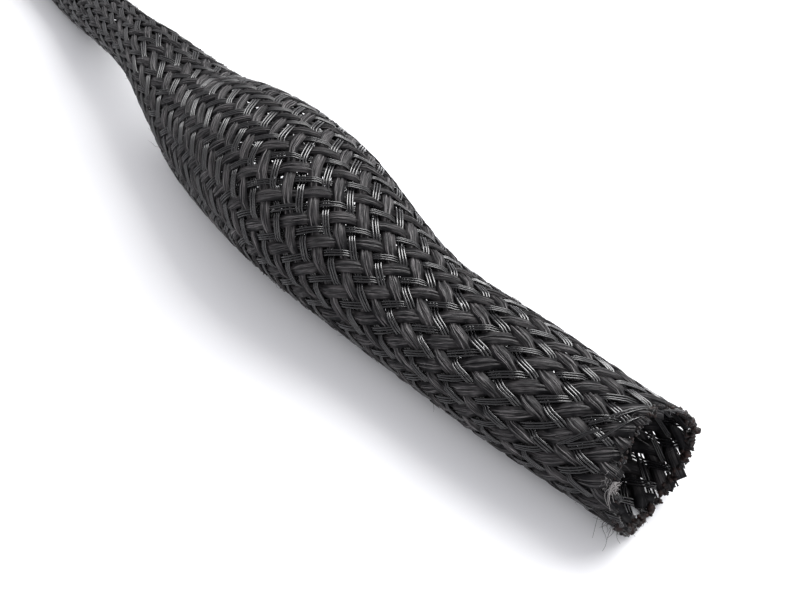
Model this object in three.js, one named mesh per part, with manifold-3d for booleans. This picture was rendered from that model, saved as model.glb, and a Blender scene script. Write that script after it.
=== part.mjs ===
// Braided cable sleeve: one cut length of expandable plastic braid, in millimetres, +Z up.
// The sleeve runs along X with its open cut end, the mouth, at +X. It rests on its underside at z = 0.
// Behind the mouth the braid is pushed open into a bulge and then draws down to its relaxed, narrow bore.
// The rest of the length lies beside the run as a flat spiral coil of narrow sleeve.
import * as THREE from "three";
import { mergeVertices } from "three/addons/utils/BufferGeometryUtils.js";
import Module from "manifold-3d";

// Sleeve sizes, all radii to the outside of the braid
const sleeveLength = 1000;
const mouthRadius = 6.6;
const throatRadius = 7.2;
const bulgeRadius = 10;
const narrowRadius = 4.2;
const wall = 0.8;

// Distances from the mouth along the run
const throatStart = 20;
const swellStart = 28;
const swellEnd = 55;
const drawStart = 57.5;
const drawEnd = 107;
const runLength = 172;

// Sideways bow of the run: how deep, where it is full, and where it starts back and ends
const bowDepth = 6.2;
const bowFull = 52;
const bowBack = 71;
const bowEnd = 171;

// The neck behind the bulge stands off the floor: how far, from where, where most, and where it is down
const neckLift = 5.3;
const liftStart = 71;
const liftTop = 98;
const liftEnd = 138;

// Coil: centreline radius of its outer turn, distance between turns, and the flat where a turn rests
const outerTurnRadius = 56.5;
const turnPitch = 8.6;
const restFlat = 0.13;
const clearance = 0.3;

// Steps of the faceted surfaces
const roundSteps = 24;
const runSteps = 44;
const coilSteps = 60;

// Smooth step from 0 to 1 between two distances from the mouth.
const step = (from, to, along) => THREE.MathUtils.smoothstep(along, from, to);

// Outside radius of the braid at a distance from the mouth.
function radiusAt(along) {
  const throat = (throatRadius - mouthRadius) * step(0, throatStart, along);
  const swell = (bulgeRadius - throatRadius) * step(swellStart, swellEnd, along);
  const draw = (bulgeRadius - narrowRadius) * step(drawStart, drawEnd, along);
  return mouthRadius + throat + swell - draw;
}

// Sideways place of the centreline: it bows towards -Y and comes back to y = 0.
function sideAt(along) {
  if (along < bowFull) return -bowDepth * Math.sin((Math.PI / 2) * (along / bowFull));
  return -bowDepth * (1 - step(bowBack, bowEnd, along));
}

// Height of the centreline: the braid lies on the floor, but for its neck, which the bulge holds up.
function heightAt(along) {
  const lift = neckLift * step(liftStart, liftTop, along) * (1 - step(liftTop, liftEnd, along));
  return radiusAt(along) + lift;
}

// A THREE geometry as a solid that can be cut.
const wasm = await Module();
wasm.setup();
function toSolid(geometry) {
  const bare = geometry.clone();
  bare.deleteAttribute("normal");
  bare.deleteAttribute("uv");
  const merged = mergeVertices(bare, 1e-4);
  return new wasm.Manifold(new wasm.Mesh({
    numProp: 3,
    vertProperties: merged.attributes.position.array,
    triVerts: Uint32Array.from(merged.index.array),
  }));
}

// A cut solid as a THREE geometry.
function toGeometry(solid) {
  const mesh = solid.getMesh();
  const geometry = new THREE.BufferGeometry();
  geometry.setAttribute("position", new THREE.BufferAttribute(mesh.vertProperties, 3));
  geometry.setIndex(new THREE.BufferAttribute(mesh.triVerts, 1));
  geometry.computeVertexNormals();
  return geometry;
}

// The run: a turned tube wall along X, then each ring of points moved onto the centreline.
function runGeometry() {
  const stations = Array.from({ length: runSteps + 1 }, (_, i) => (runLength * i) / runSteps);
  const outside = stations.map((s) => new THREE.Vector2(radiusAt(s), -s));
  const inside = stations.map((s) => new THREE.Vector2(radiusAt(s) - wall, -s)).reverse();
  const profile = [...outside, ...inside, outside[0]];
  const tube = new THREE.LatheGeometry(profile.reverse(), roundSteps);
  tube.rotateZ(-Math.PI / 2);
  const place = tube.attributes.position;
  for (let i = 0; i < place.count; i += 1) {
    const along = -place.getX(i);
    place.setY(i, place.getY(i) + sideAt(along));
    place.setZ(i, place.getZ(i) + heightAt(along));
  }
  return tube;
}

// Number of turns that take up the length that the run leaves over, on a spiral one pitch apart.
function coilTurns() {
  const rest = (sleeveLength - runLength) / (2 * Math.PI);
  const half = turnPitch / 2;
  return (outerTurnRadius - Math.sqrt(outerTurnRadius ** 2 - 4 * half * rest)) / (2 * half);
}

// The coil's section: one round lobe for each turn, with a flat where the turn rests.
function coilProfile() {
  const turns = Math.max(1, Math.round(coilTurns()));
  const centre = (k) => outerTurnRadius - k * turnPitch;
  const point = (k, degrees) => {
    const angle = THREE.MathUtils.degToRad(degrees);
    const height = narrowRadius - restFlat + narrowRadius * Math.sin(angle);
    return new THREE.Vector2(centre(k) + narrowRadius * Math.cos(angle), Math.max(0, height));
  };
  const profile = [];
  const order = Array.from({ length: turns }, (_, k) => k);
  for (const k of order) {
    if (k === 0) profile.push(point(k, 0));
    for (const degrees of [30, 60, 90, 120, 150]) profile.push(point(k, degrees));
  }
  profile.push(point(turns - 1, 180));
  for (const k of order.reverse()) {
    for (const degrees of [210, 240, 256, 284, 300, 330]) profile.push(point(k, degrees));
  }
  profile.push(profile[0].clone());
  return profile;
}

// The coil: the lobed section turned about the upright axis through the coil's middle.
function coilGeometry() {
  const ring = new THREE.LatheGeometry(coilProfile(), coilSteps);
  ring.rotateX(Math.PI / 2);
  ring.translate(-runLength, outerTurnRadius, 0);
  return ring;
}

// What the coil takes away from the run's far end, with the clearance between the two.
function coilRoom() {
  const reach = outerTurnRadius + narrowRadius + clearance;
  const tall = 4 * bulgeRadius;
  const disc = new THREE.CylinderGeometry(reach, reach, tall, coilSteps);
  disc.rotateX(Math.PI / 2);
  disc.translate(-runLength, outerTurnRadius, 0);
  return disc;
}

const braidLook = { color: 0x1b1a1a, roughness: 0.45, metalness: 0 };

const run = new THREE.Mesh(
  toGeometry(toSolid(runGeometry()).subtract(toSolid(coilRoom()))),
  new THREE.MeshStandardMaterial(braidLook),
);
run.name = "sleeve_run";

const coil = new THREE.Mesh(coilGeometry(), new THREE.MeshStandardMaterial(braidLook));
coil.name = "sleeve_coil";

// The origin is the middle of the whole sleeve's box, on the surface that it rests on.
const sleeve = new THREE.Group();
sleeve.add(run, coil);
const box = new THREE.Box3().setFromObject(sleeve);
const middle = box.getCenter(new THREE.Vector3());
sleeve.position.set(-middle.x, -middle.y, -box.min.z);

export default sleeve;
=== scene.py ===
import math

import bpy
import numpy as np
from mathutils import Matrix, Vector


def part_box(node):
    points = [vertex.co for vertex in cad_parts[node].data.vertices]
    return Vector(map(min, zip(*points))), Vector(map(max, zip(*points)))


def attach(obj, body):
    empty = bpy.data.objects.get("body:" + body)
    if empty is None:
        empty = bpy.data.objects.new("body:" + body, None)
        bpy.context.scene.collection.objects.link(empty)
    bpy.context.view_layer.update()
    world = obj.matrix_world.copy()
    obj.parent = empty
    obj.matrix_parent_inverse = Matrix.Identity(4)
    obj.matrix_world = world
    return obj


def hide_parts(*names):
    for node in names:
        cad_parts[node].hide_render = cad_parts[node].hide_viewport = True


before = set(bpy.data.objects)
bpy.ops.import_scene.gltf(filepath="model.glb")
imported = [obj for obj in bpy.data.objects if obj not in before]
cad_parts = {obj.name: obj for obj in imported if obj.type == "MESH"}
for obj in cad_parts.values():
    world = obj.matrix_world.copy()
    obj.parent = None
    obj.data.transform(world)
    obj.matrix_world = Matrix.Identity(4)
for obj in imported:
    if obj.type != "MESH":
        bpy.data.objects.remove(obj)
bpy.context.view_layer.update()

# Braided cable sleeve: one cut length of expandable plastic braid, its open end towards +X.
# Lengths are in metres. s is the distance back from the mouth along X, u the length along the centreline.
mm = 0.001

# Sleeve sizes, radii to the outside of the braid
SLEEVE_LENGTH = 1.0
MOUTH_RADIUS = 6.6 * mm
THROAT_RADIUS = 7.2 * mm
BULGE_RADIUS = 10.0 * mm
NARROW_RADIUS = 4.2 * mm
THROAT_START = 20 * mm
SWELL_START, SWELL_END = 28 * mm, 55 * mm
DRAW_START, DRAW_END = 57.5 * mm, 107 * mm
RUN_LENGTH = 172 * mm
BOW_DEPTH, BOW_FULL, BOW_BACK, BOW_END = 6.2 * mm, 52 * mm, 71 * mm, 171 * mm
NECK_LIFT, LIFT_START, LIFT_TOP, LIFT_END = 5.3 * mm, 71 * mm, 98 * mm, 138 * mm
OUTER_TURN_RADIUS = 56.5 * mm
TURN_PITCH = 8.6 * mm

# Centreline: its step on the run, turns enough for the whole length, points in them, and its tangent's reach
RUN_STEP = 0.25 * mm
TURNS_ENOUGH, TURN_POINTS = 3.6, 4000
TANGENT_REACH = 0.5 * mm

# The braid: strands each way round, and the length of strand from one float to the next like it
STRANDS = 28
COLUMNS = STRANDS // 2
FLOAT_LENGTH = 6.0 * mm
BULGE_FLOAT_LENGTH = 5.8 * mm
NARROW_FLOAT_LENGTH = 8.0 * mm
SHORTER_START, SHORTER_END = 25 * mm, 36 * mm
LONGER_START, LONGER_END = 70 * mm, 105 * mm
FIRST_FLOAT = 4.9 * mm
FLOAT_HEIGHT = 0.21 * mm
BRAID_DEPTH = 0.36 * mm
STEEPEST_SINE = 0.9

# First column of floats, in degrees: its angle, how far it turns back at the mouth, and over what length
COLUMN_ANGLE, COLUMN_TURN, COLUMN_TURN_END = 122, 30, 28 * mm

# Lean of the floats of left and right strands at the mouth, and of left ones where the bulge draws down
LEFT_LEAN, RIGHT_LEAN, LEAN_START, LEAN_END = 0.5, 0.15, 20 * mm, 45 * mm
BACK_LEAN, BACK_START, BACK_FULL, BACK_FADE, BACK_END = 0.55, 42 * mm, 58 * mm, 95 * mm, 125 * mm

# Glossy strands: three round threads side by side, their spacing in threads, and more where it is open
THREAD = 0.25 * mm
THREAD_SPACING, OPEN_SPACING = 1.04, 0.2
THREAD_FLATNESS = 3.6

# Matt strands: two soft yarns of fibres, gathered in over a flat heart, and narrower where it is relaxed
YARN_APART = 0.56 * mm
YARN_SPREAD = 0.165 * mm
MID_FLOAT_SPREAD = 0.36
YARN_GATHERED = 0.82
RELAXED_WIDTH = 0.66
YARN_CROWN = 0.11 * mm
YARN_FLATNESS = 2.4
FIBRES = 5
FIBRE = 0.1 * mm
HEART_WIDTH, HEART_DEPTH, HEART_SINK = 1.48 * mm, 0.09 * mm, 0.05 * mm

# Strands that wind to the right are drawn closer than those that wind to the left
RIGHT_CLOSER = 0.85

# Plainer strands of the coil, where they begin before the fine stretch ends, and short of the far cut
COILED_WIDTH, COILED_DEPTH = 0.8 * mm, 0.28 * mm
COIL_OVERLAP, FAR_TRIM = 2.5 * mm, 0.5 * mm

# The stretch made thread by thread, and the samples for each float there and in the coil
FINE_LENGTH = 152 * mm
THREAD_SAMPLES = 10
FIBRE_SAMPLES = 7.4
HEART_SAMPLES = 6
COIL_SAMPLES = 4.5

# Looseness: how far strands, threads, yarns and fibres stray sideways, and how the mouth frays and flares
STRAY = 0.12 * mm
STRAY_ALONG = 1.5
ROW_PITCH = (5, 14)
THREAD_STRAY = 0.022 * mm
YARN_STRAY = 0.04 * mm
FIBRE_STRAY = 0.03 * mm
FIBRE_LIFT_STRAY = 0.02 * mm
FRAY = 0.9
FRAY_REACH = 5 * mm
FLARE = 0.85 * mm

# The ragged cut: how far back from the mouth it falls at angles about the centreline
CUT_ANGLES = (0, 30, 45, 60, 80, 112, 148, 168, 200, 260, 330, 360)
CUT_BACK = (0.0, 0.2, 0.9, 1.8, 2.7, 2.3, 1.7, 0.8, 0.2, 0.0, 0.0, 0.0)
CUT_RAGGED = 0.4 * mm

# Melt at the cut: tips and drips, the angle where it is heaviest, and the larger knots' angles and radii
RIM_TIPS, RIM_DRIPS = 64, 110
HEAVY_ANGLE = 330
TOP_KNOTS = ((84, 0.44), (80, 0.36), (87, 0.3), (52, 0.3), (40, 0.3), (30, 0.32))
FAR_KNOTS = ((22, 0.34), (14, 0.34), (4, 0.4), (352, 0.36))
NEAR_KNOTS = ((192, 0.34), (202, 0.4), (212, 0.46), (220, 0.4), (228, 0.46))
LOW_KNOTS = ((236, 0.5), (244, 0.42), (252, 0.46), (262, 0.36))

# Loose fibres: at the cut, as first angle, last angle and count, half their thicknesses, and lifted ones
CUT_FIBRES = ((80, 200, 70), (190, 290, 60), (0, 360, 40))
CUT_FIBRE, HANGING_FIBRE, LIFTED_FIBRE = 0.028 * mm, 0.034 * mm, 0.022 * mm
LIFTED_FIBRES = 420

# The four that hang to the floor: angle, distance back from the cut, length, lead and bend
HANGING = (
    (188, 1.2, 3.6, (-0.3, -0.2, -0.7), (0.35, -0.1, -0.2)),
    (194, 0.9, 4.2, (-0.1, -0.15, -0.9), (0.2, 0.05, -0.2)),
    (199, 0.5, 2.6, (0.1, -0.2, -0.8), (-0.1, 0.1, -0.2)),
    (205, 0.3, 2.0, (0.2, -0.1, -0.6), (0.3, 0.0, -0.1)),
)

# Slipped strands: back from the mouth and angle at one end, the same at the other, and threads in each
SLIPPED = ((6.8, 123, 2.9, 80), (5.4, 131, 3.2, 96), (8.4, 152, 5.4, 122))
SLIPPED_THREADS = 4

# Pale fibres: those of the lock that goes round the edge, and those of the tuft
LOCK_FIBRES, TUFT_FIBRES = 16, 34

# Lowest that a piece reaches, how far apart the rows' own numbers are, and the way out of the mouth
FLOOR_CLEARANCE = 0.01 * mm
ROW_NUMBER_STEP = 7.3
AHEAD = np.array([1.0, 0.0, 0.0])

_, mouth_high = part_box("sleeve_run")
_, coil_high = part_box("sleeve_coil")
SHIFT = np.array([mouth_high.x, coil_high.y - 2 * OUTER_TURN_RADIUS - NARROW_RADIUS, 0.0])

rng = np.random.default_rng(11)


def smooth(start, end, along):
    """Smooth step from 0 at start to 1 at end."""
    t = np.clip((along - start) / (end - start), 0, 1)
    return t * t * (3 - 2 * t)


def radius_at(s):
    """Outside radius: the mouth's, the throat's, swelling to the bulge's, then down to the narrow one."""
    throat = (THROAT_RADIUS - MOUTH_RADIUS) * smooth(0, THROAT_START, s)
    swell = (BULGE_RADIUS - THROAT_RADIUS) * smooth(SWELL_START, SWELL_END, s)
    return MOUTH_RADIUS + throat + swell - (BULGE_RADIUS - NARROW_RADIUS) * smooth(DRAW_START, DRAW_END, s)


def run_centre(s):
    """Centreline of the run: a quarter sine wave sideways, then back; on the floor but for the neck."""
    rising = -BOW_DEPTH * np.sin(np.pi / 2 * s / BOW_FULL)
    side = np.where(s < BOW_FULL, rising, -BOW_DEPTH * (1 - smooth(BOW_BACK, BOW_END, s)))
    lift = NECK_LIFT * smooth(LIFT_START, LIFT_TOP, s) * (1 - smooth(LIFT_TOP, LIFT_END, s))
    return np.stack([-s, side, radius_at(s) + lift], -1)


def coil_centre(turn):
    """Centreline of the coil: a flat spiral that loses one pitch of radius in each turn."""
    radius = OUTER_TURN_RADIUS - TURN_PITCH * turn / (2 * np.pi)
    x = -RUN_LENGTH - radius * np.sin(turn)
    y = OUTER_TURN_RADIUS - radius * np.cos(turn)
    return np.stack([x, y, np.full_like(turn, NARROW_RADIUS)], -1)


def whole_centre():
    """The whole centreline as closely spaced points, their lengths along it and their s on the run."""
    s = np.arange(0, RUN_LENGTH, RUN_STEP)
    turn = np.linspace(0, 2 * np.pi * TURNS_ENOUGH, TURN_POINTS)
    points = np.concatenate([run_centre(s), coil_centre(turn)])
    length = np.concatenate([[0], np.cumsum(np.linalg.norm(np.diff(points, axis=0), axis=1))])
    keep = length <= SLEEVE_LENGTH
    s_all = np.concatenate([s, np.full(len(turn), RUN_LENGTH)])
    return points[keep] + SHIFT, length[keep], s_all[keep]


CENTRE, LENGTH, S_OF = whole_centre()


def float_length_at(s):
    """Length of strand for each float: a little shorter in the bulge, longer where the braid is drawn out."""
    shorter = (FLOAT_LENGTH - BULGE_FLOAT_LENGTH) * smooth(SHORTER_START, SHORTER_END, s)
    longer = (NARROW_FLOAT_LENGTH - BULGE_FLOAT_LENGTH) * smooth(LONGER_START, LONGER_END, s)
    return FLOAT_LENGTH - shorter + longer


def floats_along():
    """Count of floats from the first one: the strand's length for each float turned by the braid angle."""
    around = 2 * np.pi * radius_at(S_OF) / COLUMNS
    lead = np.sqrt(float_length_at(S_OF) ** 2 - around**2)
    step = np.diff(LENGTH) / (0.5 * (lead[1:] + lead[:-1]))
    count = np.concatenate([[0], np.cumsum(step)])
    return count - np.interp(FIRST_FLOAT, LENGTH, count)


COUNT = floats_along()


def column_turn(s):
    """Angle of the first column of floats about the centreline: it turns by a square near the mouth."""
    ahead = (1 - np.clip(s / COLUMN_TURN_END, 0, 1)) ** 2
    return np.radians(COLUMN_ANGLE - COLUMN_TURN * ahead)


def lean_at(way, s):
    """How far floats lean: a smooth step down from the mouth, and left ones back between two more steps."""
    mouth = (LEFT_LEAN if way > 0 else RIGHT_LEAN) * (1 - smooth(LEAN_START, LEAN_END, s))
    if way < 0:
        return mouth
    return mouth - BACK_LEAN * smooth(BACK_START, BACK_FULL, s) * (1 - smooth(BACK_FADE, BACK_END, s))


def place(u, angle, out):
    """Points at length u, at an angle about the centreline and a distance out from it, and the way outward.

    Past either end the centreline goes straight on."""
    inside = np.clip(u, 0, LENGTH[-1])
    centre, ahead, behind = (
        np.stack([np.interp(inside + shift, LENGTH, CENTRE[:, k]) for k in range(3)], -1)
        for shift in (0, TANGENT_REACH, -TANGENT_REACH)
    )
    tangent = ahead - behind
    tangent /= np.linalg.norm(tangent, axis=-1, keepdims=True)
    centre = centre + (u - inside)[..., None] * tangent
    side = np.cross(tangent, [0.0, 0.0, 1.0])
    side /= np.linalg.norm(side, axis=-1, keepdims=True)
    up = np.cross(side, tangent)
    normal = np.cos(angle)[..., None] * side + np.sin(angle)[..., None] * up
    return centre + out[..., None] * normal, normal


# Sine waves that the strands stray by: turns round the sleeve, pitch along it and phase
WAVES = 10
WAVE_TURNS = rng.integers(-4, 5, (2, WAVES))
WAVE_PITCH = rng.uniform(8, 40, (2, WAVES)) * mm
WAVE_PHASE = rng.uniform(0, 2 * np.pi, (2, WAVES))


def looseness(u):
    """1 along the sleeve, plus an exponential that decays back from the frayed mouth."""
    return 1 + FRAY * np.exp(-np.maximum(u, 0) / FRAY_REACH)


def stray(u, angle, lot):
    """Sum of sine waves along the sleeve that also go round it a whole number of times."""
    round_it = angle[..., None] * WAVE_TURNS[lot]
    along_it = 2 * np.pi * u[..., None] / WAVE_PITCH[lot]
    return looseness(u) * np.sin(round_it + along_it + WAVE_PHASE[lot]).sum(-1) * math.sqrt(2 / WAVES)


def row_stray(u, amount):
    """Slow sideways wander of each row for itself: two sine waves, their phases and pitches drawn by row."""
    phase = rng.uniform(0, 2 * np.pi, (2, len(u), 1))
    pitch = rng.uniform(*ROW_PITCH, (2, len(u), 1)) * mm
    return amount * looseness(u) * np.sin(2 * np.pi * u / pitch + phase).sum(0)


def flare(u, angle):
    """How far the mouth opens upward: a decaying exponential times the fourth power of the angle's sine."""
    return FLARE * np.exp(-np.maximum(u, 0) / FRAY_REACH) * np.maximum(np.sin(angle), 0) ** 4


def strand_path(way, number, count, offset, spread=0.0, lift=0.0, flat=YARN_FLATNESS):
    """Points of strands along the braid.

    The angle is the column's turn plus or minus the strand's own turn, which grows by one column for
    each float, and leans by a sine of the place between columns. The height is a flattened cosine of
    that place, up for one way round where it is down for the other. The offset moves a thread sideways
    within its strand, the spread does so most in the middle of a float, and the stray moves both ways
    round alike, so that the weave holds."""
    u = np.interp(count, COUNT, LENGTH)
    s = np.interp(u, LENGTH, S_OF)
    turn = 2 * np.pi * count / COLUMNS
    start = 2 * np.pi * number / STRANDS + (0 if way > 0 else np.pi / STRANDS)
    place_between = way * turn + start
    wave = COLUMNS * place_between
    place_between = place_between - way * lean_at(way, s) * np.sin(wave) / COLUMNS
    rise = np.tanh(flat * np.cos(wave)) / np.tanh(flat)
    out = radius_at(s) - BRAID_DEPTH + way * FLOAT_HEIGHT * rise + lift
    offset = offset + spread * (1 + MID_FLOAT_SPREAD * np.cos(2 * wave))
    around = 2 * np.pi * radius_at(s) / COLUMNS
    sine = np.clip(around / float_length_at(s), 0, STEEPEST_SINE)
    shift_along = offset * sine * way
    shift_round = offset * np.sqrt(1 - sine**2) / out
    angle = column_turn(s) - place_between + shift_round
    stray_along = STRAY_ALONG * STRAY * stray(u, angle, 0)
    stray_round = STRAY * stray(u, angle, 1)
    points, normal = place(u + shift_along + stray_along, angle + stray_round / out, out + flare(u, angle))
    return points, normal, u


def tubes(points, normal, u, half_width, half_depth, sides, turned=0.0):
    """Closed tubes of an oval section along rows of points, flat side outward.

    Each ring is half_width * cos + half_depth * sin of evenly spaced angles, in the plane across the
    row. Returns vertices, quads, end faces and each vertex's strand coordinate: millimetres along,
    millimetres across, and a number for the row."""
    rows, samples = points.shape[:2]
    along = np.gradient(points, axis=1)
    along /= np.linalg.norm(along, axis=-1, keepdims=True)
    across = np.cross(along, normal)
    across /= np.linalg.norm(across, axis=-1, keepdims=True)
    outward = np.cross(across, along)
    angle = turned + 2 * np.pi * np.arange(sides) / sides
    width = np.broadcast_to(half_width, (rows, samples))[:, :, None, None]
    depth = np.broadcast_to(half_depth, (rows, samples))[:, :, None, None]
    ring = width * np.cos(angle)[:, None] * across[:, :, None]
    ring = ring + depth * np.sin(angle)[:, None] * outward[:, :, None]
    vertices = (points[:, :, None] + ring).reshape(-1, 3)
    index = np.arange(rows * samples * sides).reshape(rows, samples, sides)
    a, b = index[:, :-1], index[:, 1:]
    quads = np.stack([a, b, np.roll(b, -1, 2), np.roll(a, -1, 2)], -1).reshape(-1, 4)
    caps = np.concatenate([index[:, 0], index[:, -1, ::-1]])
    length = np.broadcast_to(u[:, :, None], (rows, samples, sides)).ravel()
    row = np.arange(rows)[:, None, None] * ROW_NUMBER_STEP
    seed = np.broadcast_to(row, (rows, samples, sides)).ravel()
    beside = np.broadcast_to(width[..., 0] * np.cos(angle), (rows, samples, sides)).ravel()
    return vertices, quads, caps, np.stack([length / mm, beside / mm, seed], -1)


def mesh_piece(name, parts, material):
    """One object from several lots of tubes, with the strand coordinate kept as an attribute.

    Nothing goes below the floor: what would is flattened just above it."""
    mesh = bpy.data.meshes.new(name)
    base, vertices, loops, sizes, coords = 0, [], [], [], []
    for points, quads, caps, coord in parts:
        vertices.append(points)
        coords.append(coord)
        for faces in (quads, caps):
            loops.append((faces + base).ravel())
            sizes.append(np.full(len(faces), faces.shape[1]))
        base += len(points)
    vertices, loops, sizes = np.concatenate(vertices), np.concatenate(loops), np.concatenate(sizes)
    vertices[:, 2] = np.maximum(vertices[:, 2], FLOOR_CLEARANCE)
    mesh.vertices.add(len(vertices))
    mesh.vertices.foreach_set("co", vertices.ravel())
    mesh.loops.add(len(loops))
    mesh.loops.foreach_set("vertex_index", loops)
    mesh.polygons.add(len(sizes))
    mesh.polygons.foreach_set("loop_start", np.concatenate([[0], np.cumsum(sizes)[:-1]]))
    mesh.polygons.foreach_set("loop_total", sizes)
    mesh.polygons.foreach_set("use_smooth", np.ones(len(sizes), bool))
    mesh.update(calc_edges=True)
    mesh.validate()
    strand = mesh.attributes.new("strand", "FLOAT_VECTOR", "POINT")
    strand.data.foreach_set("vector", np.concatenate(coords).ravel())
    mesh.materials.append(material)
    piece = bpy.data.objects.new(name, mesh)
    bpy.context.scene.collection.objects.link(piece)
    return piece


def feed(tree, socket, value):
    """Puts a signal or a plain value into a socket."""
    if isinstance(value, Signal):
        tree.links.new(value.socket, socket)
    else:
        socket.default_value = value


class Signal:
    """One output in a material's node tree, with arithmetic that adds the nodes for it."""

    def __init__(self, tree, socket):
        self.tree = tree
        self.socket = socket

    def node(self, kind, settings=None, inputs=None, output=0):
        """Any other node: its type, its settings and what goes into its inputs."""
        made = self.tree.nodes.new(kind)
        for name, value in (settings or {}).items():
            setattr(made, name, value)
        for name, value in (inputs or {}).items():
            feed(self.tree, made.inputs[name], value)
        return Signal(self.tree, made.outputs[output])

    def math(self, operation, *others):
        return self.node("ShaderNodeMath", {"operation": operation}, dict(enumerate((self, *others))))

    def vector(self, operation, other):
        return self.node("ShaderNodeVectorMath", {"operation": operation}, {0: self, 1: other})

    def mixed(self, low, high):
        """The colour low where this signal is 0 and high where it is 1."""
        settings = {"data_type": "RGBA", "clamp_factor": True}
        return self.node("ShaderNodeMix", settings, {0: self, 6: (*low, 1), 7: (*high, 1)}, 2)

    def spread(self, low, high, to_low=0.0, to_high=1.0):
        """This signal's range from low to high stretched onto another range."""
        inputs = {"Value": self, "From Min": low, "From Max": high, "To Min": to_low, "To Max": to_high}
        return self.node("ShaderNodeMapRange", {"clamp": True}, inputs)

    def noise(self, scale, detail=3.0, roughness=0.5):
        inputs = {"Vector": self, "Scale": scale, "Detail": detail, "Roughness": roughness}
        return self.node("ShaderNodeTexNoise", {"noise_dimensions": "3D"}, inputs)

    def __add__(self, other):
        return self.math("ADD", other)

    def __mul__(self, other):
        return self.math("MULTIPLY", other)

    __radd__ = __add__
    __rmul__ = __mul__


def new_material(name, constants):
    """A Principled material with its constants set, and signals for its two coordinates."""
    material = bpy.data.materials.new(name)
    material.use_nodes = True
    tree = material.node_tree
    shader = tree.nodes["Principled BSDF"]
    for socket, value in constants.items():
        shader.inputs[socket].default_value = value
    coords = tree.nodes.new("ShaderNodeTexCoord")
    strand = tree.nodes.new("ShaderNodeAttribute")
    strand.attribute_name = "strand"
    place_signal = Signal(tree, coords.outputs["Object"])
    strand_signal = Signal(tree, strand.outputs["Vector"])
    return material, tree, shader, place_signal, strand_signal


def bump(height, strength, distance):
    """The normal pushed about by a height signal."""
    return height.node("ShaderNodeBump", None, {"Height": height, "Strength": strength, "Distance": distance})


def thread_material(name, gloss, rough):
    """Black round plastic thread: glossy, with a faint drawn grain along it and a little dust.

    It is duller past the bulge, from 50 to 64 mm back, where the braid draws down."""
    material, tree, shader, where, strand = new_material(name, {"Specular IOR Level": gloss, "IOR": 1.52})
    grain = strand.vector("MULTIPLY", (0.3, 9.0, 1.0)).noise(1.0, 2.0)
    dust = where.noise(1400.0, 3.0)
    colour = grain.spread(0.35, 0.75).mixed((0.005, 0.005, 0.006), (0.014, 0.0135, 0.014))
    feed(tree, shader.inputs["Base Color"], colour)
    along = strand.node("ShaderNodeSeparateXYZ", None, {"Vector": strand})
    drawn_down = along.spread(50.0, 64.0, 0.0, 0.26)
    feed(tree, shader.inputs["Roughness"], dust.spread(0.3, 0.75, rough, 2 * rough) + drawn_down)
    feed(tree, shader.inputs["Normal"], bump(grain, 0.1, 0.00002))
    return material


def yarn_material(name, fineness, tone, gloss=0.3):
    """Matt multifilament yarn: fine fibres along it, greyer where they part, dark between them.

    Noise stretched along the strand gives the fibres, and a slower one how grey each yarn is; these greys
    are partly the fibres' own tone and partly painted sheen on lighter fibres and painted shade between them.
    It is darker within 10 mm of the cut; the slight darkening in the relaxed stretch is painted shade."""
    material, tree, shader, _, strand = new_material(name, {"Specular IOR Level": gloss})
    streaks = strand.vector("MULTIPLY", (0.4, fineness, 1.0)).noise(1.0, 3.0, 0.6)
    each = strand.vector("MULTIPLY", (0.5, 0.0, 1.0)).noise(1.0, 2.0)
    along = strand.node("ShaderNodeSeparateXYZ", None, {"Vector": strand})
    # Fibre streaks and each yarn's grey: partly own tone, partly painted sheen and painted shade between
    # fibres
    light = streaks.spread(0.38, 0.66) * each.spread(0.42, 0.62, 0.03, 1.0)
    # Darker near the cut, and painted shade in the relaxed stretch from 60 to 100 mm
    light = light * along.spread(2.0, 10.0, 0.5, 1.0) * along.spread(60.0, 100.0, 1.0, 0.7)
    colour = light.mixed((0.007, 0.007, 0.008), (tone, 0.94 * tone, 0.95 * tone))
    feed(tree, shader.inputs["Base Color"], colour)
    feed(tree, shader.inputs["Roughness"], each.spread(0.3, 0.7, 0.6, 0.42))
    feed(tree, shader.inputs["Normal"], bump(streaks, 0.7, 0.00003))
    return material


def melt_material():
    """Plastic melted by a hot cut: brown-black, shiny and lumpy."""
    material, tree, shader, where, _ = new_material("melt", {"Specular IOR Level": 0.26})
    uneven = where.noise(1500.0, 4.0, 0.6)
    brown = uneven.spread(0.42, 0.72).mixed((0.003, 0.0025, 0.0026), (0.034, 0.016, 0.013))
    feed(tree, shader.inputs["Base Color"], brown)
    feed(tree, shader.inputs["Roughness"], uneven.spread(0.3, 0.7, 0.34, 0.7))
    feed(tree, shader.inputs["Normal"], bump(uneven, 1.0, 0.0003))
    return material


def fibre_material(name, colour):
    """A loose fibre: one plain colour, a little lighter and darker along it."""
    material, tree, shader, _, strand = new_material(name, {"Roughness": 0.5, "Specular IOR Level": 0.35})
    tone = strand.vector("MULTIPLY", (1.1, 0.0, 1.0)).noise(1.0, 2.0)
    low = tuple(0.55 * c for c in colour)
    feed(tree, shader.inputs["Base Color"], tone.spread(0.3, 0.7).mixed(low, colour))
    return material


def floor_material():
    """Plain white surface with the faintest unevenness."""
    material, tree, shader, where, _ = new_material("floor", {"Roughness": 0.6})
    grain = where.noise(40.0, 2.0)
    feed(tree, shader.inputs["Base Color"], grain.mixed((0.86, 0.87, 0.885), (0.9, 0.905, 0.915)))
    return material


# Camera: where the photograph was taken from, fitted to the sleeve's outline
CAMERA_AT = np.array([35.37, -57.61, 87.9]) * mm
CAMERA_AZIMUTH, CAMERA_ELEVATION = 53.44, 42.73
FOCAL_PIXELS, PICTURE_WIDTH = 1041.9, 800
SENSOR_WIDTH = 36.0

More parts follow.
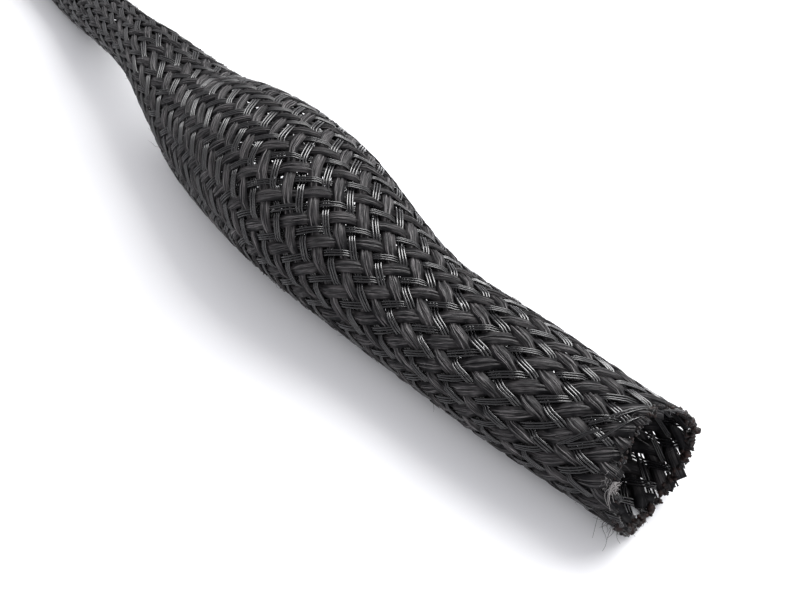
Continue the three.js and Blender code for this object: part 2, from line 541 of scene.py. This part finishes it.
# Lights: name, place along X and Y from what they light, height, size and power
LIGHTS = (
    ("window", 0.02, 0.5, 0.5, 0.72, 7.3),
    ("front", 0.35, -0.25, 0.45, 0.3, 0.7),
    ("glint", -0.15, 0.26, 0.68, 0.4, 12.5),
)
LIT_MIDDLE = (-0.06, 0.0, 0.01)
WORLD_COLOUR, WORLD_STRENGTH = (0.965, 0.955, 1.0, 1), 0.75
FLOOR_HALF = 3.0


def make_camera():
    """The camera at its fitted place, looking along its azimuth and elevation."""
    data = bpy.data.cameras.new("camera")
    data.sensor_width = SENSOR_WIDTH
    data.lens = FOCAL_PIXELS / PICTURE_WIDTH * data.sensor_width
    data.clip_start, data.clip_end = 0.005, 20.0
    camera = bpy.data.objects.new("camera", data)
    a, e = math.radians(CAMERA_AZIMUTH), math.radians(CAMERA_ELEVATION)
    back = Vector((math.sin(a) * math.cos(e), -math.cos(a) * math.cos(e), math.sin(e)))
    camera.location = Vector(CAMERA_AT + SHIFT)
    camera.rotation_mode = "QUATERNION"
    camera.rotation_quaternion = back.to_track_quat("Z", "Y")
    bpy.context.scene.collection.objects.link(camera)
    bpy.context.scene.camera = camera


def make_light(name, at, aim, size, power):
    """A square soft light at a point, aimed at another."""
    data = bpy.data.lights.new(name, "AREA")
    data.size, data.energy = size, power
    light = bpy.data.objects.new(name, data)
    light.location = Vector(at)
    light.rotation_mode = "QUATERNION"
    light.rotation_quaternion = (Vector(at) - Vector(aim)).to_track_quat("Z", "Y")
    bpy.context.scene.collection.objects.link(light)
    return light


def make_stage():
    """White floor at z = 0, a pale world and the soft studio lights.

    The glint shows only in gloss, as fine bright lines on the round threads."""
    mesh = bpy.data.meshes.new("floor")
    corners = [(x * FLOOR_HALF, y * FLOOR_HALF, 0) for x, y in ((-1, -1), (1, -1), (1, 1), (-1, 1))]
    mesh.from_pydata(corners, [], [(0, 1, 2, 3)])
    mesh.materials.append(floor_material())
    floor = bpy.data.objects.new("floor", mesh)
    bpy.context.scene.collection.objects.link(floor)
    world = bpy.data.worlds.new("world")
    world.use_nodes = True
    world.node_tree.nodes["Background"].inputs["Color"].default_value = WORLD_COLOUR
    world.node_tree.nodes["Background"].inputs["Strength"].default_value = WORLD_STRENGTH
    bpy.context.scene.world = world
    middle = SHIFT + LIT_MIDDLE
    for name, x, y, height, size, power in LIGHTS:
        light = make_light(name, (middle[0] + x, middle[1] + y, height), middle, size, power)
        light.visible_diffuse = name != "glint"
    bpy.context.scene.view_settings.view_transform = "Standard"


def openness_at(u):
    """How open the braid is: 0 where it is relaxed, in proportion to its radius, and 1 from the mouth's on."""
    s = np.interp(u, LENGTH, S_OF)
    return np.clip((radius_at(s) - NARROW_RADIUS) / (MOUTH_RADIUS - NARROW_RADIUS), 0, 1)


def yarn_width_at(u):
    """Width of a yarn against its width where the braid is open: narrower where it is relaxed."""
    return RELAXED_WIDTH + (1 - RELAXED_WIDTH) * openness_at(u)


def strand_numbers(way, glossy):
    """Glossy strands are the even ones one way round and the odd ones the other way."""
    first = 0 if glossy == (way > 0) else 1
    return np.arange(first, STRANDS, 2)


def sampled(start, end, per_float):
    """Even steps in the count of floats between two lengths."""
    low, high = np.interp([start, end], LENGTH, COUNT)
    return np.linspace(low, high, int((high - low) * per_float) + 1)


def cut_at(angle):
    """Length back from the mouth at which strands are cut, from the table of angles, and ragged."""
    back = np.interp(np.degrees(angle) % 360, CUT_ANGLES, CUT_BACK) * mm
    return back + CUT_RAGGED * rng.uniform(0, 1, angle.shape)


def first_counts(way, numbers):
    """Count of floats at which each strand is cut, from the angle that it has at the mouth."""
    turn = 2 * np.pi * COUNT[0] / COLUMNS
    start = 2 * np.pi * numbers / STRANDS + (0 if way > 0 else np.pi / STRANDS)
    angle = column_turn(0.0) - (way * turn + start)
    return np.interp(cut_at(angle), LENGTH, COUNT)


def fine_rows(way, glossy, each, samples):
    """Strand number and counts of floats for each row of the visible stretch, from the cut onward."""
    numbers = strand_numbers(way, glossy)
    even = np.linspace(0, 1, len(sampled(0, FINE_LENGTH, samples)))
    last = np.interp(FINE_LENGTH, LENGTH, COUNT)
    first = np.repeat(first_counts(way, numbers), each)[:, None]
    return np.repeat(numbers, each)[:, None], first + (last - first) * even


def glossy_threads(way):
    """The visible stretch of the glossy strands, three round threads side by side in each."""
    number, count = fine_rows(way, True, 3, THREAD_SAMPLES)
    u = np.interp(count, COUNT, LENGTH)
    beside = np.tile([-1.0, 0.0, 1.0], len(number) // 3)[:, None]
    closer = 1.0 if way > 0 else RIGHT_CLOSER
    spacing = closer * THREAD * (THREAD_SPACING + OPEN_SPACING * openness_at(u))
    offset = beside * spacing + row_stray(u, THREAD_STRAY)
    points, normal, along = strand_path(way, number, count, offset, flat=THREAD_FLATNESS)
    return tubes(points, normal, along, closer * THREAD / 2, closer * THREAD / 2, 6)


def matt_yarns(way):
    """The visible stretch of the matt strands: two yarns side by side, each a flat bundle of fibres.

    The fibres lie across the yarn in even steps, the middle ones higher by a parabola, and each
    strays by an amount of its own; they spread in the middle of a float."""
    each = 2 * FIBRES
    number, count = fine_rows(way, False, each, FIBRE_SAMPLES)
    u = np.interp(count, COUNT, LENGTH)
    rows = len(number)
    narrow = YARN_GATHERED * yarn_width_at(u) * (1.0 if way > 0 else RIGHT_CLOSER)
    yarn = np.tile(np.repeat([-0.5, 0.5], FIBRES), rows // each)[:, None]
    fibre = np.tile(np.linspace(-1, 1, FIBRES), rows // FIBRES)[:, None]
    amount = FIBRE_STRAY * np.exp(rng.normal(0, 0.55, (rows, 1)))
    together = np.repeat(row_stray(u[::FIBRES], YARN_STRAY), FIBRES, axis=0)
    offset = 0.5 * yarn * YARN_APART * narrow + together + row_stray(u, amount)
    lift = YARN_CROWN * (1 - fibre**2) + rng.normal(0, FIBRE_LIFT_STRAY, (rows, 1))
    lift = lift + row_stray(u, 0.35 * amount)
    spread = (0.5 * yarn * YARN_APART + fibre * YARN_SPREAD) * narrow
    points, normal, along = strand_path(way, number, count, offset, spread, lift)
    half = FIBRE / 2
    return tubes(points, normal, along, half * (0.8 + 0.2 * narrow), 0.85 * half, 3, math.pi / 6)


def shaded_yarn_cores(way):
    """The heart of each matt strand: a thin flat band under its fibres, a little wider than they lie. Its
    darker tone is painted shade, the shadowed inside of the yarn seen between the fibres.
    """
    number, count = fine_rows(way, False, 1, HEART_SAMPLES)
    narrow = yarn_width_at(np.interp(count, COUNT, LENGTH))
    points, normal, along = strand_path(way, number, count, 0.0, lift=-HEART_SINK)
    return tubes(points, normal, along, HEART_WIDTH / 2 * narrow, HEART_DEPTH / 2, 4)


def coiled_strands(way, glossy):
    """The coiled stretch, every strand one flat band."""
    numbers = strand_numbers(way, glossy)[:, None]
    count = sampled(FINE_LENGTH - COIL_OVERLAP, SLEEVE_LENGTH - FAR_TRIM, COIL_SAMPLES)
    rows = np.broadcast_to(count, (len(numbers), len(count)))
    points, normal, along = strand_path(way, numbers, rows, 0.0)
    return tubes(points, normal, along, COILED_WIDTH / 2, COILED_DEPTH / 2, 4)


def lumps(points, axis, radius, longer):
    """Closed uneven beads about points: a circle's half width along an axis, pushed about at random.

    The half width at t from -1 to 1 is the radius times the root of 1 - t squared, and the bead's
    length is its width times longer."""
    t = np.sin(np.linspace(-np.pi / 2, np.pi / 2, 8))
    rows = len(points)
    axis = axis / np.linalg.norm(axis, axis=-1, keepdims=True)
    path = points[:, None] + axis[:, None] * (t[:, None] * radius[:, None, None] * longer)
    path = path + rng.normal(0, 0.16, (rows, len(t), 3)) * radius[:, None, None]
    half = radius[:, None] * np.sqrt(1.02 - t**2) * rng.uniform(0.65, 1.25, (rows, len(t)))
    aside = rng.normal(0, 1, (rows, 1, 3)) * np.ones((1, len(t), 1))
    return tubes(path, aside, np.abs(t) * radius[:, None], half, half * rng.uniform(0.75, 1.1, (rows, 1)), 8)


def hairs(roots, lead, bend, length, thickness, samples=8):
    """Loose fibres: from each root along its lead, plus its bend times the square of the way along.

    One turn of a sine curls them, and each thins to half at its end."""
    t = np.linspace(0, 1, samples)[None, :, None]
    curl = rng.normal(0, 0.05, (len(roots), 1, 3)) * np.sin(2 * np.pi * t)
    path = roots[:, None] + length[:, None, None] * (lead[:, None] * t + bend[:, None] * t**2 + curl)
    aside = rng.normal(0, 1, (len(roots), 1, 3)) * np.ones((1, samples, 1))
    half = thickness * (1 - 0.5 * t[..., 0]) * np.ones((len(roots), 1))
    return tubes(path, aside, length[:, None] * t[..., 0], half, half, 3)


def at_cut(angle, inward, back=0.0):
    """Points at the ragged cut, given how far inward of the braid and how far back of the cut."""
    u = cut_at(angle) + back
    s = np.interp(u, LENGTH, S_OF)
    return place(u, angle, radius_at(s) - inward + flare(u, angle))


def heaviness(angle):
    """How much melt ran together at an angle: a raised cosine, 1 where it is heaviest and 0 opposite."""
    return 0.5 + 0.5 * np.cos(angle - np.radians(HEAVY_ANGLE))


def melted_edge():
    """The hot cut's rim: melted tips all round it, small drips between them and a few larger knots.

    Tips and drips are largest on the far side, where the melt ran together."""
    ring = 2 * np.pi * np.arange(RIM_TIPS) / RIM_TIPS + rng.uniform(-0.05, 0.05, RIM_TIPS)
    tips, _ = at_cut(ring, rng.uniform(0.15, 0.6, RIM_TIPS) * mm)
    lead = AHEAD + rng.normal(0, 0.6, (RIM_TIPS, 3))
    size = (0.14 + 0.24 * heaviness(ring)) * rng.uniform(0.7, 1.15, RIM_TIPS) * mm
    parts = [lumps(tips, lead, size, 1.4)]
    near = rng.uniform(0, 2 * np.pi, RIM_DRIPS)
    drips, _ = at_cut(near, rng.uniform(0.0, 0.7, RIM_DRIPS) * mm, rng.uniform(-0.15, 0.5, RIM_DRIPS) * mm)
    size = (0.08 + 0.14 * heaviness(near)) * rng.uniform(0.6, 1.3, RIM_DRIPS) * mm
    parts.append(lumps(drips, rng.normal(0, 1, (RIM_DRIPS, 3)), size, 1.3))
    angle, size = np.array(TOP_KNOTS + FAR_KNOTS + NEAR_KNOTS + LOW_KNOTS).T
    knots, _ = at_cut(np.radians(angle), 0.25 * mm, rng.uniform(-0.3, 0.2, len(angle)) * mm)
    parts.append(lumps(knots, rng.normal(0, 1, (len(angle), 3)), size * mm, 1.3))
    return parts


def frayed_fibres():
    """Loose dark fibres at the cut, a few that hang to the floor, and lifted ones along the braid."""
    angle = np.radians(np.concatenate([rng.uniform(*lot) for lot in CUT_FIBRES]))
    roots, normal = at_cut(angle, rng.uniform(0, 0.5, len(angle)) * mm, rng.uniform(0, 1.5, len(angle)) * mm)
    lead = 0.35 * normal + AHEAD * rng.uniform(-0.4, 0.8, (len(angle), 1)) + rng.normal(0, 0.35, roots.shape)
    bend = np.array([0.0, 0.0, -0.3]) + rng.normal(0, 0.5, roots.shape)
    parts = [hairs(roots, lead, bend, rng.uniform(0.3, 1.2, len(angle)) * mm, CUT_FIBRE)]
    angle, back, length, lead, bend = (np.array(column) for column in zip(*HANGING))
    roots, _ = at_cut(np.radians(angle), 0.1 * mm, back * mm)
    parts.append(hairs(roots, lead, bend, length * mm, HANGING_FIBRE))
    u = rng.uniform(2, 130, LIFTED_FIBRES) * mm
    angle = rng.uniform(0, 2 * np.pi, LIFTED_FIBRES)
    s = np.interp(u, LENGTH, S_OF)
    roots, normal = place(u, angle, radius_at(s) - 0.12 * mm)
    lead = 0.1 * normal + AHEAD * rng.choice([-1, 1], (LIFTED_FIBRES, 1))
    lead = lead + np.clip(rng.normal(0, 0.4, roots.shape), -0.6, 0.6)
    bend = -0.15 * normal + np.clip(rng.normal(0, 0.2, roots.shape), -0.3, 0.3)
    parts.append(hairs(roots, lead, bend, rng.uniform(0.5, 1.5, LIFTED_FIBRES) * mm, LIFTED_FIBRE))
    return parts


def slipped_strands():
    """Strands that came out of the weave at the mouth and lie over it: a few threads side by side.

    Length and angle go evenly from one end to the other, with a sine arch outward."""
    ends = np.repeat(np.array(SLIPPED), SLIPPED_THREADS, axis=0)[:, :, None]
    t = np.linspace(0, 1, 26)[None]
    u = (ends[:, 0] * (1 - t) + ends[:, 2] * t) * mm
    angle = np.radians(ends[:, 1] * (1 - t) + ends[:, 3] * t)
    angle = angle + rng.normal(0, 0.012, (len(ends), 1)) + 0.02 * np.sin(6 * t)
    u = u + rng.normal(0, 0.12 * mm, (len(ends), 1)) * np.sin(np.pi * t * 0.9 + 0.3)
    arch = 0.12 * mm * np.sin(np.pi * t) + rng.normal(0, 0.04 * mm, (len(ends), 1)) - 0.06 * mm
    points, normal = place(u, angle, radius_at(u) + flare(u, angle) + arch)
    return tubes(points, normal, u, 0.07 * mm, 0.06 * mm, 5)


def pale_fibres():
    """Fibres bleached and drawn out by the hot cut, on the near side of the mouth: a lock and a tuft.

    Each fibre of the lock goes round the edge in even steps between two angles, the second spread by
    the square of a random number, with a sine arch back from the cut."""
    t = np.linspace(0, 1, 14)[None]
    each = (LOCK_FIBRES, 1)
    first = rng.uniform(148, 155, each)
    last = 154 + 26 * rng.uniform(0, 1, each) ** 2
    angle = np.radians(first + (last - first) * t)
    u = (rng.normal(1.4, 0.15, each) + rng.normal(0.4, 0.2, each) * np.sin(np.pi * t)) * mm
    out = radius_at(u) + flare(u, angle) + rng.normal(0.1, 0.06, each) * mm
    points, normal = place(u, angle, out)
    lock = tubes(points, normal, u, 0.028 * mm, 0.022 * mm, 3)
    angle = np.radians(rng.normal(155, 5, TUFT_FIBRES))
    inward = rng.uniform(-0.05, 0.25, TUFT_FIBRES) * mm
    back = rng.uniform(0.1, 1.4, TUFT_FIBRES) * mm
    roots, normal = at_cut(angle, inward, back)
    lead = 0.1 * normal + np.array([0.0, 0.1, -0.35]) + rng.normal(0, 0.3, roots.shape)
    bend = np.array([0.1, 0.0, -0.6]) + rng.normal(0, 0.25, roots.shape)
    return [lock, hairs(roots, lead, bend, rng.uniform(0.2, 0.8, TUFT_FIBRES) * mm, 0.026 * mm)]


def far_tips():
    """The other cut end, in the middle of the coil: one melted tip on every strand."""
    tips = 2 * STRANDS
    ring = 2 * np.pi * np.arange(tips) / tips
    u, out = np.full(tips, SLEEVE_LENGTH - 0.6 * mm), np.full(tips, NARROW_RADIUS - BRAID_DEPTH)
    points, _ = place(u, ring, out)
    lead = CENTRE[-1] - CENTRE[-6] + rng.normal(0, 0.2 * mm, (tips, 3))
    return lumps(points, lead, rng.uniform(0.24, 0.36, tips) * mm, 1.3)


# Looks: gloss and roughness of threads, fineness and tone of yarns, gloss of hearts, colour of fibres
left_thread = thread_material("thread_left", 0.52, 0.1)
right_thread = thread_material("thread_right", 0.4, 0.13)
# Left and right yarns are one yarn: the left ones' lighter tone is painted sheen, as steeper fibres catch more
# light
sheened_left_yarn = yarn_material("yarn_left", 14.0, 0.34)
right_yarn = yarn_material("yarn_right", 14.0, 0.22)
# Hearts: a darker tone as painted shade between the fibres
shaded_yarn_heart = yarn_material("shaded_yarn_heart", 9.0, 0.13, 0.1)
coiled_yarn = yarn_material("coiled_yarn", 9.0, 0.3)
melt = melt_material()
dark_fibre = fibre_material("dark_fibre", (0.03, 0.028, 0.028))
pale_fibre = fibre_material("pale_fibre", (0.5, 0.48, 0.47))
make_camera()

# Pieces: name, lots of tubes, look and slot, left strands as way 1 and right ones as way -1
lots = [
    ("threads_left", [glossy_threads(1), coiled_strands(1, True)], left_thread, "monofilament"),
    ("threads_right", [glossy_threads(-1), coiled_strands(-1, True)], right_thread, "monofilament"),
    ("yarns_left", [matt_yarns(1)], sheened_left_yarn, "yarn"),
    ("yarns_right", [matt_yarns(-1)], right_yarn, "yarn"),
    # The yarn hearts, dark as painted shade between the fibres
    ("shaded_yarn_cores", [shaded_yarn_cores(1), shaded_yarn_cores(-1)], shaded_yarn_heart, "yarn"),
    ("coiled_yarns", [coiled_strands(1, False), coiled_strands(-1, False)], coiled_yarn, "yarn"),
    ("slipped_strands", [slipped_strands()], left_thread, "monofilament"),
    ("melted_edge", melted_edge() + [far_tips()], melt, "monofilament"),
    ("frayed_fibres", frayed_fibres(), dark_fibre, "yarn"),
    ("pale_fibres", pale_fibres(), pale_fibre, "yarn"),
]
for name, parts, look, slot in lots:
    piece = mesh_piece(name, parts, look)
    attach(piece, "root")

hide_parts("sleeve_run", "sleeve_coil")

make_stage()
